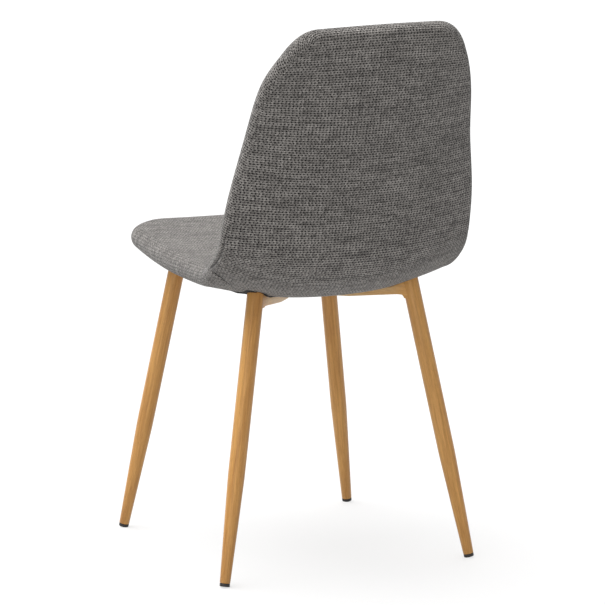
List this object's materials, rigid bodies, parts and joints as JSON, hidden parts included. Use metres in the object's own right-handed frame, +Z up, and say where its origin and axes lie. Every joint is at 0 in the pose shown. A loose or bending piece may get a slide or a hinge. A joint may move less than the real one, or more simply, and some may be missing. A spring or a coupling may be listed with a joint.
{
  "type": "upholstered dining chair",
  "caption": "Side chair with a one-piece upholstered bucket shell on splayed, tapered round legs joined by crossed bars.",
  "frame": {"origin": "on the floor, under the middle of the chair's overall width and depth", "axes": "+Z up, -Y the way the sitter faces, +X to the sitter's left"},
  "size_m": [0.4246, 0.5868, 0.8341],
  "materials": {
    "seat_fabric": "chunky woven grey upholstery",
    "back_fabric": "chunky woven grey upholstery",
    "black_cloth": "thin black non-woven cloth",
    "foam": "open-cell foam",
    "plywood": "raw moulded plywood",
    "wood_look_steel": "satin light oak wood-look skin on steel",
    "black_plastic": "matt black moulded plastic",
    "zinc_steel": "zinc-plated steel"
  },
  "bodies": {
    "root": {"leg_rear_left": "wood_look_steel", "foot_cap_rear_left": "black_plastic", "leg_rear_right": "wood_look_steel", "foot_cap_rear_right": "black_plastic", "leg_front_left": "wood_look_steel", "foot_cap_front_left": "black_plastic", "leg_front_right": "wood_look_steel", "foot_cap_front_right": "black_plastic", "front_cover": "seat_fabric", "back_cover": "back_fabric", "dust_cover": "black_cloth", "front_foam": "foam", "rear_foam": "foam", "plywood_shell": "plywood", "cross_bar_whole": "wood_look_steel", "cross_bar_rear_half": "wood_look_steel", "cross_bar_front_half": "wood_look_steel", "frame_bolt_rear_left": "zinc_steel", "lock_washer_rear_left": "zinc_steel", "flat_washer_rear_left": "zinc_steel", "tee_nut_rear_left": "zinc_steel", "shell_pad_rear_left": "black_plastic", "frame_bolt_rear_right": "zinc_steel", "lock_washer_rear_right": "zinc_steel", "flat_washer_rear_right": "zinc_steel", "tee_nut_rear_right": "zinc_steel", "shell_pad_rear_right": "black_plastic", "frame_bolt_front_left": "zinc_steel", "lock_washer_front_left": "zinc_steel", "flat_washer_front_left": "zinc_steel", "tee_nut_front_left": "zinc_steel", "shell_pad_front_left": "black_plastic", "frame_bolt_front_right": "zinc_steel", "lock_washer_front_right": "zinc_steel", "flat_washer_front_right": "zinc_steel", "tee_nut_front_right": "zinc_steel", "shell_pad_front_right": "black_plastic"}
  },
  "joints": []
}
